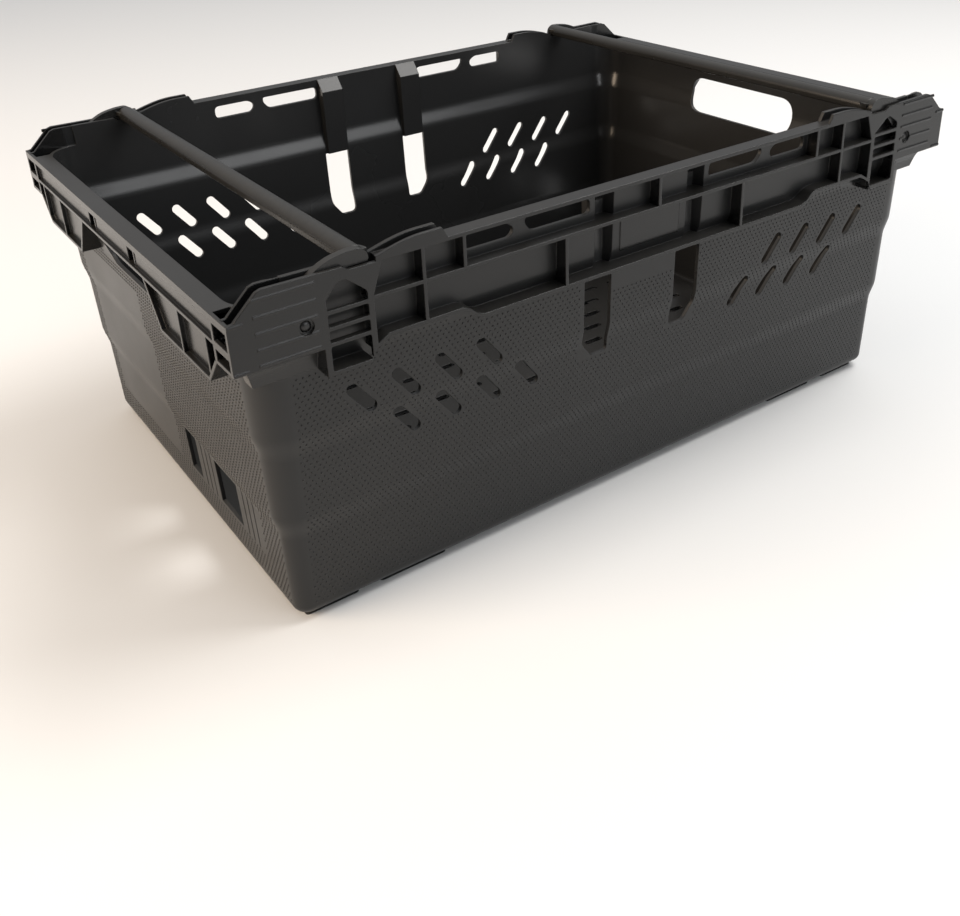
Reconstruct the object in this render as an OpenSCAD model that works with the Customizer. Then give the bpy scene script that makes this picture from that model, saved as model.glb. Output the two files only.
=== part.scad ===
// Ventilated stack-and-nest crate with two swinging bale arms.
// X runs along the length, Y along the width, Z up; the origin is the centre of the footprint.

/* [Footprint and heights] */
// Overall length along X
crate_length = 600; // [580:1:620]
// Overall width along Y
crate_width = 400; // [380:1:420]
// Height of the end ledges above the ground
ledge_z = 230.5; // [222:0.5:240]
// Height of the long rims above the end ledges
rim_rise = 14.3; // [14:0.1:15]
// Height of the foot pads under the base
foot_height = 5; // [4:0.5:7]

/* [Walls] */
// Thickness of the walls and floor
wall = 2.8; // [2.2:0.1:3.2]
// Thickness of the outer ribs and flanges
rib = 2.2; // [1.8:0.1:2.6]
// Distance from the outer box to the rounded corner axes
corner_inset = 36; // [35:1:40]
// Radius of the outside edge where walls meet the base
base_round = 7; // [6:0.5:8]

/* [Ventilation] */
// Number of slanted slots in each row of a half wall
slots_per_row = 4; // [2:1:4]
// Width of a slanted slot
slant_width = 7.5; // [6:0.5:8]
// Distance between the slanted slots in a row
slant_pitch = 30.6; // [30:0.1:31]
// Distance between the floor slots along X
floor_pitch_x = 34; // [32:1:40]
// Distance between the floor slots along Y
floor_pitch_y = 22; // [20:1:30]

/* [Hand holes] */
// Length of the hand hole in each end wall
hand_length = 124; // [100:1:128]
// Height of the hand hole
hand_height = 32.5; // [28:0.5:33]

/* [Bale arms] */
// Distance of each pivot from the end of the crate
pivot_inset = 44.3; // [44:0.1:45]
// Depth of the pivots below the end ledges
pivot_drop = 13.7; // [13:0.1:14]
// Distance of each crossbar from the crate centre, stacking position
bar_x = 219.7; // [219:0.1:220]
// Width of a crossbar
bar_width = 13; // [11:0.5:13]
// Height of a crossbar
bar_height = 9; // [8:0.5:9]
// Radius of the pivot pins
pin_r = 3.3; // [3:0.1:3.5]

/* [Hidden] */

$fn = 48;
half_length = crate_length / 2;
half_width = crate_width / 2;
straight_x = half_length - corner_inset;   // half of the straight run of a long wall
straight_y = half_width - corner_inset;    // half of the straight run of an end wall
eps = 0.01;
deep = 40;                                 // more than the depth of any rib
clear_fit = 0.08;                          // radial running clearance of the pivot pins

// Heights, all measured from the ledge unless they say "abs"
rim_split = -52;         // joint between lower panels and rim walls
rim_top_split = -2;      // sill of the rim slots
slot_bottom = -111;      // bottom of the two tall slots in a long wall
end_split = -160;        // top of the lower end wall band
base_abs = foot_height;  // underside of the base
round_abs = base_abs + base_round;
flange_under = 11.9;     // underside of the top flange of a long rim
panel_front = 0.6;       // how far a pivot plate lies behind its raised lines

function at(z) = ledge_z + z;

// How far the outer wall surface lies inside the outer box at height z above the ledge:
// a light draft and three soft steps.
rim_inset = 9;
draft = 0.03;
steps = [[-32, -50, 3.6], [-87, -105, 2.9], [-147, -165, 3.1]];
function clamp01(t) = max(0, min(1, t));
function ease(t) = t * t * (3 - 2 * t);
function step_at(z, s) = s[2] * ease(clamp01((s[0] - z) / (s[0] - s[1])));
function inset(z) = rim_inset + draft * (rim_rise - z)
  + step_at(z, steps[0]) + step_at(z, steps[1]) + step_at(z, steps[2]);

// Heights where the wall profile needs a point
step_parts = 6;
profile_z = [for (s = [2, 1, 0]) for (i = [0:step_parts])
  steps[s][1] + (steps[s][0] - steps[s][1]) * i / step_parts];
function heights(z0, z1) = concat(
  [z0], [for (z = profile_z) if (z > z0 + eps && z < z1 - eps) z], [z1]);

// Closed outline between the wall surface moved in by d0 and by d1, as [inset, height abs]
function band(z0, z1, d0, d1) = let (zs = heights(z0, z1), n = len(zs)) concat(
  [for (z = zs) [inset(z) + d0, at(z)]],
  [for (i = [n - 1:-1:0]) [inset(zs[i]) + d1, at(zs[i])]]);

// The lowest band turns under the base in a quarter round
round_parts = 6;
low_z = round_abs - ledge_z;
low_inset = inset(low_z);
function round_point(r, i) = [
  low_inset + base_round - r * cos(90 * i / round_parts),
  round_abs - r * sin(90 * i / round_parts)];
function base_band(z1) = let (zs = heights(low_z, z1), n = len(zs)) concat(
  [for (i = [round_parts:-1:1]) round_point(base_round, i)],
  [for (z = zs) [inset(z), at(z)]],
  [for (i = [n - 1:-1:0]) [inset(zs[i]) + wall, at(zs[i])]],
  [for (i = [1:round_parts]) round_point(base_round - wall, i)]);
// The whole body of the crate as a filled outline from the base up to height z1
function core_outline(z1, reach) = let (zs = heights(low_z, z1)) concat(
  [for (i = [round_parts:-1:1]) round_point(base_round, i)],
  [for (z = zs) [inset(z), at(z)]],
  [[reach, at(z1)], [reach, base_abs]]);

// Outline in [inset, height] run along the front wall from x0 to x1
module along_front(x0, x1, outline) {
  translate([x0, 0, 0]) rotate([90, 0, 90]) linear_extrude(x1 - x0)
    polygon([for (p = outline) [p[0] - half_width, p[1]]]);
}
// The same along the left end wall from y0 to y1
module along_left(y0, y1, outline) {
  translate([0, y1, 0]) rotate([90, 0, 0]) linear_extrude(y1 - y0)
    polygon([for (p = outline) [p[0] - half_length, p[1]]]);
}
// The same round the front left corner
module round_corner(outline) {
  translate([-straight_x, -straight_y, 0]) rotate([0, 0, 180])
    rotate_extrude(angle = 90, $fn = 64)
      polygon([for (p = outline) [corner_inset - p[0], p[1]]]);
}
// Outline in [x, height above the ledge] cut through the front wall, from y0 to y1
module through_front(y0, y1, outline) {
  translate([0, y1, 0]) rotate([90, 0, 0]) linear_extrude(y1 - y0)
    polygon([for (p = outline) [p[0], at(p[1])]]);
}
// Outline in [y, height above the ledge] cut through the left wall, from x0 to x1
module through_left(x0, x1, outline) {
  translate([x0, 0, 0]) rotate([90, 0, 90]) linear_extrude(x1 - x0)
    polygon([for (p = outline) [p[0], at(p[1])]]);
}
// Slab from [x0, y0, z0] to [x1, y1, z1], heights above the ledge
module slab(lo, hi) {
  translate([lo[0], lo[1], at(lo[2])]) cube(hi - lo);
}
module half_turn() { rotate([0, 0, 180]) children(); }

// Filled body near the front wall and near the front left corner, for trimming ribs to the wall
core_top = 24;
module core_front() {
  along_front(-straight_x, straight_x, core_outline(core_top, 80));
}
module core_left() {
  along_left(-straight_y, straight_y, core_outline(core_top, 80));
}
module core_corner() {
  round_corner(core_outline(core_top, corner_inset));
}
module trim_front() { difference() { children(); core_front(); } }
module trim_front_ribs() {
  difference() {
    children();
    difference() {
      core_front();
      channel_space();
    }
  }
}
module trim_left() { difference() { children(); core_left(); } }
module trim_corner() { difference() { children(); core_front(); core_left(); core_corner(); } }

// ---- Top outline of a long rim: chamfer, flat, notch for the bar, raised cam, rim ----
notch_z = 12.2;
notch_x = [227.5, 212.4];  // outboard and inboard ends of the notch floor
cam_x0 = 210.5;
cam_x1 = 167;
cam_top = 20.8;
function cam_z(x) = let (t = (cam_x0 - x) / (cam_x0 - cam_x1))
  15 + (cam_top - 15) * sin(90 * clamp01(t * 1.35));
cam_points = [for (i = [0:8]) let (x = cam_x0 - (cam_x0 - cam_x1) * i / 8) [-x, cam_z(x)]];
left_top_line = concat(
  [[-half_length, 0], [-half_length + 4, 0.6], [-half_length + 18.5, 14.2], [-half_length + 22, 15.4]],
  [[-notch_x[0] - 3.5, 14.8], [-notch_x[0], notch_z], [-notch_x[1], notch_z]],
  cam_points,
  [[-163.5, rim_rise]]);
function mirror_x(points) = [for (i = [len(points) - 1:-1:0]) [-points[i][0], points[i][1]]];
top_line = concat(left_top_line, mirror_x(left_top_line));

// ---- Floor and feet ----
floor_x = half_length - low_inset - base_round;
floor_y = half_width - low_inset - base_round;
floor_corner = corner_inset - low_inset - base_round;
module rounded_rectangle(hx, hy, r) {
  square([2 * hx, 2 * (hy - r)], center = true);
  square([2 * (hx - r), 2 * hy], center = true);
  for (sx = [-1, 1], sy = [-1, 1]) translate([sx * (hx - r), sy * (hy - r)]) circle(r);
}
module obround(length, width) {
  square([length - width, width], center = true);
  for (s = [-1, 1]) translate([s * (length - width) / 2, 0]) circle(width / 2, $fn = 24);
}
floor_slot_length = 20;
floor_slot_width = 6;
floor_columns = floor((2 * floor_x - 40) / floor_pitch_x);
floor_rows = floor((2 * floor_y - 40) / floor_pitch_y);
module floor_plate() {
  color("#26282a") translate([0, 0, base_abs]) linear_extrude(wall) difference() {
    rounded_rectangle(floor_x, floor_y, floor_corner);
    for (i = [0:floor_columns - 1], j = [0:floor_rows - 1])
      translate([
        (i - (floor_columns - 1) / 2) * floor_pitch_x + (j % 2 - 0.5) * floor_pitch_x / 2,
        (j - (floor_rows - 1) / 2) * floor_pitch_y])
        obround(floor_slot_length, floor_slot_width);
  }
}

foot_outer_end = 267;    // the pads stay just inside the wall
bar_groove = [212, 228]; // the crossbars of the crate below sit between the two pads
inner_pad_end = 160;
foot_y = 166.5;
module feet_left() {
  color("#26282a") linear_extrude(foot_height) {
    translate([-(bar_groove[1] + foot_outer_end) / 2, 0])
      foot_outline(foot_outer_end - bar_groove[1], 2 * foot_y, 5);
    translate([-(inner_pad_end + bar_groove[0]) / 2, 0])
      foot_outline(bar_groove[0] - inner_pad_end, 2 * foot_y, 6);
  }
}
// Open frame of a pad: a rim with cross walls
module foot_outline(length, width, bays) {
  difference() {
    square([length, width], center = true);
    for (i = [0:bays - 1])
      translate([0, (i - (bays - 1) / 2) * (width - 6) / bays])
        square([length - 12, (width - 6) / bays - 6], center = true);
  }
}
module feet_right() { half_turn() feet_left(); }

// ---- Lower long wall: panels beside, between and below the two tall slots ----
tall_slot = [29, 52];    // edges of a tall slot from the crate centre
slant_angle = 52;        // from the horizontal
slant_length = 27;
upper_row = [220.5, -77];
lower_row = [190, -104.3];
module slanted_slot(x, z) {
  translate([x, -half_width + deep, at(z)]) rotate([90, 0, 0]) linear_extrude(deep)
    rotate(-slant_angle) obround(slant_length, slant_width);
}
module slanted_slots() {
  for (row = [upper_row, lower_row], i = [0:slots_per_row - 1])
    slanted_slot(-row[0] + i * slant_pitch, row[1]);
}
module front_panel_left() {
  color("#2b2d2f") {
    difference() {
      along_front(-straight_x, -tall_slot[1], band(slot_bottom, rim_split, 0, wall));
      slanted_slots();
    }
    intersection() {
      along_front(-tall_slot[1], -tall_slot[0], band(slot_bottom, rim_split, 0, wall));
      through_front(-half_width, 0, [
        [-tall_slot[1], slot_bottom], [-tall_slot[1] + 8, slot_bottom], [-tall_slot[1], slot_bottom + 13]]);
    }
  }
}
module front_panel_centre() {
  color("#2b2d2f") along_front(-tall_slot[0], tall_slot[0], band(slot_bottom, rim_split, 0, wall));
}
module front_panel_right() { mirror([1, 0, 0]) front_panel_left(); }
module front_panel_bottom() {
  color("#2b2d2f") along_front(-straight_x, straight_x, base_band(slot_bottom));
}
module back_panel_left() { mirror([0, 1, 0]) front_panel_left(); }
module back_panel_centre() { mirror([0, 1, 0]) front_panel_centre(); }
module back_panel_right() { mirror([0, 1, 0]) front_panel_right(); }
module back_panel_bottom() { mirror([0, 1, 0]) front_panel_bottom(); }

// ---- Upper long wall with its slots, channels and top outline ----
// Two channels above the tall slots stand into the crate like pilasters
channel = [30, 50];        // edges of a channel from the crate centre
channel_mouth = [32, 48];  // edges of its open side
channel_floor = [35, 45];  // edges of its floor
floor_inset = inset(rim_split) + wall;
channel_back = 20;         // inner face behind the outer box
slope_foot = 3;            // height where the slope below the rim reaches full depth
slot_sill = rim_top_split;
slot_head = 8;
rim_slot_a = [[-147, slot_sill - 1], [-147, slot_head + 1], [-117, slot_head + 1], [-117, slot_head],
  [-112, 4.5], [-112, 1], [-115, slot_sill], [-115, slot_sill - 1]];
rim_slot_b = [[-103, slot_head + 1], [-103, 4], [-98, slot_sill], [-98, slot_sill - 1],
  [-54, slot_sill - 1], [-54, slot_sill], [-52, 0], [-52, slot_head + 1]];
module rim_slots() {
  for (s = [rim_slot_a, rim_slot_b]) {
    through_front(-half_width, -half_width + deep, s);
    through_front(-half_width, -half_width + deep, mirror_x(s));
  }
}
module channel_gaps() {
  for (s = [0, 1]) mirror([s, 0, 0])
    slab([channel[0], -half_width, rim_split - 1], [channel[1], -half_width + deep, core_top]);
}
// Space in front of a slope that falls from the rim to the full depth of a channel
module below_slope(start, top, depth, bottom) {
  along_front(-channel[1] - 1, channel[1] + 1, [
    [-1, at(top)], [start, at(top)], [depth, at(bottom)], [depth, at(rim_split - 1)],
    [-1, at(rim_split - 1)]]);
}
// Free space of the channels, open to the outside
module channel_space() {
  intersection() {
    for (s = [0, 1]) mirror([s, 0, 0])
      translate([0, -half_width, at(rim_split - 1)]) linear_extrude(core_top - rim_split) polygon([
        [channel_mouth[0], -1], [channel_mouth[0], rim_inset],
        [channel_floor[0], floor_inset], [channel_floor[1], floor_inset],
        [channel_mouth[1], rim_inset], [channel_mouth[1], -1]]);
    below_slope(rim_inset, flange_under, floor_inset, slope_foot - 1);
  }
}
module front_channels() {
  color("#2b2d2f") difference() {
    intersection() {
      core_front();
      for (s = [0, 1]) mirror([s, 0, 0])
        slab([channel[0], -half_width, rim_split], [channel[1], -half_width + channel_back, rim_rise]);
      below_slope(rim_inset + wall, rim_rise, channel_back, slope_foot + 1);
    }
    channel_space();
  }
}
module back_channels() { mirror([0, 1, 0]) front_channels(); }
pin_start = 1.3;         // ends of a pin behind the outer box
pin_end = 11.1;
pin_gap = 0.3;           // the sockets in the wall are blind
module pivot_axis() {
  translate([-half_length + pivot_inset, -half_width, at(-pivot_drop)]) rotate([-90, 0, 0]) children();
}
module pivot_sockets() {
  for (s = [0, 1]) mirror([s, 0, 0]) pivot_axis() cylinder(r = pin_r + clear_fit, h = pin_end + pin_gap);
}
module front_rim_lower() {
  color("#2b2d2f") difference() {
    along_front(-straight_x, straight_x, band(rim_split, rim_top_split, 0, wall));
    channel_gaps();
    pivot_sockets();
  }
}
// Stretches of wall beside and between the rim slots
module front_rim_posts() {
  color("#2b2d2f") difference() {
    along_front(-straight_x, straight_x, band(slot_sill, slot_head, 0, wall));
    rim_slots();
    channel_gaps();
    rim_end_cut();
  }
}
module front_rim_crown() {
  color("#2b2d2f") difference() {
    along_front(-straight_x, straight_x, band(slot_head, core_top - 1, 0, wall));
    channel_gaps();
    rim_end_cut();
  }
}
// Everything above the top outline
module rim_end_cut() {
  through_front(-half_width, 0, concat(
    [[half_length, core_top + 1], [-half_length, core_top + 1]], top_line));
}
module back_rim_lower() { mirror([0, 1, 0]) front_rim_lower(); }
module back_rim_posts() { mirror([0, 1, 0]) front_rim_posts(); }
module back_rim_crown() { mirror([0, 1, 0]) front_rim_crown(); }

// ---- Outer ribs of a long rim ----
rib_front = -half_width + panel_front;
frame_end = 216;         // the rib frame meets the pivot plates here
flange_end = 209;        // end of the top flange, at the head of the slanted upright
upright_2 = 180.5;
upright_3 = 152.5;
upright_4 = 77.5;
mid_rib_z = -7.4;        // top of the long middle rib
lower_path = [
  [0, -41.2], [-141, -41.2], [-146, -39], [-151, -34.6], [-156, -32.8], [-206, -32.8],
  [-211, -35.6], [-frame_end, -38.6]];
function lowered(points, d) = [for (i = [len(points) - 1:-1:0]) [points[i][0], points[i][1] - d]];
module front_bar(outline) { through_front(rib_front, -half_width + channel_back, outline); }
module upright(x, z0, z1) {
  slab([x - rib / 2, rib_front, z0], [x + rib / 2, -half_width + channel_back, z1]);
}
module both_ends() {
  children();
  mirror([1, 0, 0]) children();
}
module front_flange_top() {
  color("#2b2d2f") trim_front_ribs() {
    slab([-flange_end, rib_front, flange_under], [flange_end, -half_width + channel_back, rim_rise]);
    // raised cam lips in front of the flange
    both_ends() through_front(rib_front, rib_front + rib, concat(
      [[-163.5, flange_under], [-cam_x0, flange_under]], cam_points, [[-163.5, rim_rise]]));
  }
}
module front_rib_middle() {
  color("#2b2d2f") trim_front_ribs()
    slab([-frame_end, rib_front, mid_rib_z - rib], [frame_end, -half_width + channel_back, mid_rib_z]);
}
module front_rib_lower() {
  color("#2b2d2f") trim_front_ribs()
    both_ends() front_bar(concat(lower_path, lowered(lower_path, rib + 0.2)));
}
// Short ribs between the flanges, and the raised panel in the middle of the wall
centre_panel = [26, -35, -13];   // half length, bottom and top
module front_uprights() {
  mid_under = mid_rib_z - rib;
  color("#2b2d2f") trim_front() {
    upright(0, mid_rib_z, flange_under);
    both_ends() {
      front_bar([[-frame_end, -38.6], [-frame_end + rib, -37.3], [-frame_end + rib, mid_under],
        [-frame_end, mid_under]]);
      front_bar([[-frame_end, mid_rib_z], [-frame_end + rib, mid_rib_z],
        [-flange_end + rib, flange_under], [-flange_end, flange_under]]);
      upright(-upright_2, -32.8, mid_under);
      upright(-upright_2, mid_rib_z, flange_under);
      upright(-upright_3, mid_rib_z, flange_under);
      upright(-upright_4, -41.2, mid_under);
    }
    along_front(-centre_panel[0], centre_panel[0], band(centre_panel[1], centre_panel[2], -panel_front, 1));
  }
}
module back_flange_top() { half_turn() front_flange_top(); }
module back_rib_middle() { half_turn() front_rib_middle(); }
module back_rib_lower() { half_turn() front_rib_lower(); }
module back_uprights() { half_turn() front_uprights(); }

ledge_y = 176;           // the end ledges run between the pivot plates

// ---- Pivot plates: the outer skins of the four corners ----
plate_inner = frame_end;         // inboard edge
plate_bottom = -30;
pocket_floor = -27.6;            // top of the corner skirt inside the pocket
plate_back = panel_front + 2.4;  // back of a plate behind the outer box
cell_in = 217.4;
cell_out = 243;
column_out = 246.5;
column_bottom = -48;
divider_back = 5;                // back of the dividers behind the outer box
line_ends = [half_length - 15, 248.5];
line_width = 2.2;
function plate_outline() = concat(
  [[-plate_inner, column_bottom + 7], [-plate_inner - 3, column_bottom], [-column_out, column_bottom],
   [-column_out, plate_bottom], [-half_length, plate_bottom]],
  [for (p = left_top_line) if (p[0] < -cam_x0 - 1) p],
  [[-cam_x0, notch_z], [-cam_x0, flange_under], [-flange_end, flange_under],
   [-plate_inner, mid_rib_z]]);
// Windows from the highest to the lowest: each is [bottom, top]
cells_a = [[-8.5, 7.5], [-18.4, -10.8], [-27.9, -20.6], [-45.6, -30.1]];
cells_b = [[-4, 6.8], [-13.2, -6.4], [-22.3, -15.6], [-44.6, -24.7]];
lines_a = [9.4, -0.4, -10, -19.5, -28.8];
lines_b = [12, 3.2, -5.7, -15.2, -24.6];
recess_r = 4.7;                  // recess round the head of a pivot pin
recess_depth = 1.5;
module window(points) { through_front(-half_width - 1, -half_width + 6, points); }
module plate_windows(cells) {
  window([
    [-cell_out, cells[0][0]], [-cell_out, cells[0][1] - 7], [-cell_out + 1.5, cells[0][1] - 4.5],
    [-233, cells[0][1] - 0.3], [-230.5, cells[0][1] - 0.3], [-cell_in, -3], [-cell_in, cells[0][0]]]);
  for (c = [cells[1], cells[2], cells[3]])
    window([[-cell_out, c[0]], [-cell_out, c[1]], [-cell_in, c[1]], [-cell_in, c[0]]]);
}
module raised_lines(heights_list) {
  for (z = heights_list)
    slab([-line_ends[0], -half_width, z], [-line_ends[1], rib_front, z + line_width]);
  for (z = [-2, -29.8])
    slab([-half_length, -half_width, z], [-half_length + 9, rib_front, z + line_width]);
}
module pivot_plate(cells, lines) {
  color("#2b2d2f") difference() {
    union() {
      through_front(rib_front, -half_width + plate_back, plate_outline());
      raised_lines(lines);
      for (c = [cells[1], cells[2]])
        slab([-cell_out, rib_front, c[0] - 2.2], [-cell_in, -half_width + divider_back, c[0]]);
      // bottom and outer side of the column of cells run back to the wall
      trim_front() {
        slab([-column_out, -half_width + plate_back - eps, column_bottom],
          [-cell_in, -half_width + 20, column_bottom + 2.4]);
        slab([-column_out, -half_width + plate_back - eps, column_bottom],
          [-column_out + rib, -half_width + 20, plate_bottom]);
      }
      // inner pocket wall beyond the straight rim, and the end flange
      intersection() {
        slab([-half_length + rib, -half_width + 9.6, pocket_floor], [-straight_x, -half_width + 11.8, 16]);
        through_front(-half_width, 0, concat([[-half_length, -30]], left_top_line, [[0, -30]]));
      }
      slab([-half_length, -half_width + plate_back - eps, pocket_floor], [-half_length + rib, -ledge_y, 0]);
    }
    plate_windows(cells);
    pivot_axis() {
      translate([0, 0, -1]) cylinder(r = pin_r + clear_fit, h = 8);
      translate([0, 0, -1]) cylinder(r = recess_r, h = 1 + panel_front + recess_depth);
    }
    // small windows in the end flange
    for (z = [[-15.5, -5], [pocket_floor, -20.5]])
      slab([-half_length - 1, -196.5, z[0]], [-half_length + 4, -178, z[1]]);
    core_corner();
  }
}
module pivot_plate_front_left() { pivot_plate(cells_a, lines_a); }
module pivot_plate_front_right() { mirror([1, 0, 0]) pivot_plate(cells_b, lines_b); }
module pivot_plate_back_right() { half_turn() pivot_plate_front_left(); }
module pivot_plate_back_left() { half_turn() pivot_plate_front_right(); }

// ---- Corner skirts: solid coves from the plates down to the wall ----
// Concave underside as [distance behind the outer box, height above the ledge]
cove_points = [[14, -47], [12.6, -41], [11, -36.5], [8.5, -33], [5, -31], [0, plate_bottom]];
cove_under = [for (p = cove_points) [p[0], at(p[1])]];
cove_end = 60;           // far enough in to reach the corner of the wall
function cove_outline(lip) = concat(cove_under,
  [[lip, at(plate_bottom)], [lip, at(pocket_floor)], [cove_end, at(pocket_floor)],
   [cove_end, at(cove_points[0][1])]]);
module corner_skirt_front_left() {
  color("#2b2d2f") trim_corner() intersection() {
    along_front(-half_length, -column_out, cove_outline(plate_back));
    along_left(-half_width, -ledge_y, cove_outline(eps));
  }
}
module corner_skirt_front_right() { mirror([1, 0, 0]) corner_skirt_front_left(); }
module corner_skirt_back_left() { mirror([0, 1, 0]) corner_skirt_front_left(); }
module corner_skirt_back_right() { half_turn() corner_skirt_front_left(); }

// ---- Rounded corners of the wall, base to ledge ----
module corner_front_left() {
  color("#2b2d2f") round_corner(base_band(0));
}
module corner_front_right() { mirror([1, 0, 0]) corner_front_left(); }
module corner_back_left() { mirror([0, 1, 0]) corner_front_left(); }
module corner_back_right() { half_turn() corner_front_left(); }

// ---- End walls ----
window_y = [[-97, -60], [-25, -5]];   // openings low in the dotted half of an end wall
window_z = [-197, -163];
block_y = [[-132, -97], [-60, -25]];  // ribbed blocks beside them
end_wide = straight_y;
module left_end_wall() {
  color("#2b2d2f") along_left(-end_wide, end_wide, band(end_split, rim_split, 0, wall));
}
module left_end_base() {
  color("#2b2d2f") difference() {
    along_left(-end_wide, end_wide, base_band(end_split));
    for (w = window_y)
      slab([-half_length, w[0], window_z[0]], [-half_length + deep, w[1], window_z[1]]);
    for (b = block_y, i = [1, 2, 3])
      slab([-half_length, b[0] + 8.5 * i - 0.5, window_z[0] - 1],
        [-half_length + inset(window_z[1]) + 1.4, b[0] + 8.5 * i + 0.5, window_z[1] + 2]);
  }
}
hand_top = -18.5;
hand_round = 14;
module hand_hole_outline(grow) {
  hx = hand_length / 2 - hand_round;
  hz = hand_height / 2 - hand_round;
  square([2 * hx, hand_height + 2 * grow], center = true);
  square([hand_length + 2 * grow, 2 * hz], center = true);
  for (sx = [-1, 1], sz = [-1, 1]) translate([sx * hx, sz * hz]) circle(hand_round + grow);
}
module hand_hole(grow, depth) {
  translate([-half_length - 1, 0, at(hand_top - hand_height / 2)])
    rotate([90, 0, 90]) linear_extrude(depth) hand_hole_outline(grow);
}
module left_end_rim() {
  color("#2b2d2f") difference() {
    along_left(-end_wide, end_wide, band(rim_split, 0, 0, wall));
    hand_hole(0, deep);
  }
}
end_rib_z = -16.8;       // top of the middle rib of an end
notch_y = 40;
module left_end_ledge() {
  color("#2b2d2f") difference() {
    union() {
      difference() {
        union() {
          slab([-half_length, -ledge_y, -2.4], [-half_length + 20, ledge_y, 0]);
          slab([-half_length, -ledge_y, end_rib_z - rib], [-half_length + 20, ledge_y, end_rib_z]);
          for (s = [-1, 1], d = [-6.5, 6.5])
            slab([-half_length + 1.6, s * notch_y + d - 1, end_rib_z - 1],
              [-half_length + 20, s * notch_y + d + 1, -2]);
        }
        core_left();
        core_corner();
        mirror([0, 1, 0]) core_corner();
      }
      slab([-half_length, -ledge_y, -4.6], [-half_length + rib, ledge_y, -2.3]);
      slab([-half_length + 2, -ledge_y, end_rib_z - 1], [-half_length + 4, ledge_y, -2.3]);
    }
    for (s = [-1, 1])
      slab([-half_length - 1, s * notch_y - 5.5, end_rib_z], [-half_length + 5, s * notch_y + 5.5, -4.6]);
  }
}
skirt_path = [
  [-176, -30.2], [-160, -48.2], [-82, -48.2], [-62, end_rib_z - rib],
  [-62 - 2.6, end_rib_z - rib], [-83.4, -46], [-159, -46], [-174, -29], [-176, -29]];
module left_skirt_front() {
  color("#2b2d2f") trim_left() difference() {
    union() {
      through_left(-half_length, -half_length + 20, skirt_path);
      slab([-half_length, -121.1, -46.1], [-half_length + 20, -118.9, end_rib_z - rib]);
      slab([-half_length, -164, -38], [-half_length + 20, -161.8, end_rib_z - rib]);
      slab([-half_length + 3, -164, -44], [-half_length + 5, -74, end_rib_z - rib]);
    }
    slab([-half_length - 1, -200, -60], [-half_length + deep, -straight_y, 0]);
    hand_hole(1, deep);
    through_left(-half_length - 1, -half_length + deep, [
      [-82, -48.3], [-62, end_rib_z - rib], [-50, end_rib_z], [-50, -60], [-70, -60]]);
  }
}
module left_skirt_back() { mirror([0, 1, 0]) left_skirt_front(); }
module right_end_wall() { half_turn() left_end_wall(); }
module right_end_base() { half_turn() left_end_base(); }
module right_end_rim() { half_turn() left_end_rim(); }
module right_end_ledge() { half_turn() left_end_ledge(); }
module right_skirt_front() { half_turn() left_skirt_back(); }
module right_skirt_back() { half_turn() left_skirt_front(); }

// ---- Bale arms, in the stacking position with the bars in the notches ----
bar_bottom = notch_z + 0.35;
lever_y = [half_width - 3.4, half_width - 8.5];  // outer and inner face of a lever
bar_half = lever_y[1];
bar_sides = 10;
bar_flank = 3.4;         // straight height of the bar sides below its round top
bar_outline = concat(
  [[-bar_width / 2 + 1, 0], [bar_width / 2 - 1, 0], [bar_width / 2, 1]],
  [for (i = [0:bar_sides]) let (a = 180 * i / bar_sides)
    [bar_width / 2 * cos(a), bar_flank + (bar_height - bar_flank) * sin(a)]],
  [[-bar_width / 2, 1]]);
module bar_left() {
  color("#303234") translate([-bar_x, bar_half, at(bar_bottom)]) rotate([90, 0, 0])
    linear_extrude(2 * bar_half) polygon(bar_outline);
}
pivot_x = half_length - pivot_inset;
boss_r = 8.2;
flare = 1.4;             // extra width of the bar at its ends, each side
flare_length = 9;
flare_z = [3.3, 6.2];    // height of the widening above the underside of the bar
// Banana shaped arm between the pivot boss and the bar, as offsets from the pivot
arm_points = [
  [-7.3, 3.7], [-5.5, 12], [-1, 20.5], [6, 27], [14, 31.5], [22, 34], [29.5, 35.1], [36, 35.3],
  [40, 33.5], [42.2, 30], [42.4, 28], [41.4, 26.3], [29.5, 26.3], [27.5, 23.5], [22, 19], [14, 10],
  [7.9, 2]];
module lever_left_front() {
  color("#303234") difference() {
    union() {
      translate([-pivot_x, -lever_y[1], at(-pivot_drop)]) rotate([90, 0, 0])
        linear_extrude(lever_y[0] - lever_y[1]) {
          circle(boss_r);
          polygon(arm_points);
        }
      // the lever widens the bar where they meet
      translate([-bar_x, -lever_y[1], at(bar_bottom + flare_z[0])]) linear_extrude(flare_z[1] - flare_z[0])
        for (s = [-1, 1])
          polygon([[s * (bar_width / 2 - 2), -1], [s * (bar_width / 2 + flare), -1],
            [s * (bar_width / 2 + flare), 1], [s * (bar_width / 2 - 2), flare_length]]);
    }
    translate([-pivot_x, -half_width - 1, at(-pivot_drop)]) rotate([-90, 0, 0])
      cylinder(r = pin_r, h = deep);
    bar_left();
  }
}
module lever_left_back() { mirror([0, 1, 0]) lever_left_front(); }
module pivot_pins_left() {
  color("#3a3c3e") for (s = [0, 1]) mirror([0, s, 0])
    translate([-pivot_x, -half_width + pin_start, at(-pivot_drop)]) rotate([-90, 0, 0])
      cylinder(r = pin_r, h = pin_end - pin_start);
}
module bar_right() { half_turn() bar_left(); }
module lever_right_back() { half_turn() lever_left_front(); }
module lever_right_front() { half_turn() lever_left_back(); }
module pivot_pins_right() { half_turn() pivot_pins_left(); }

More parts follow.
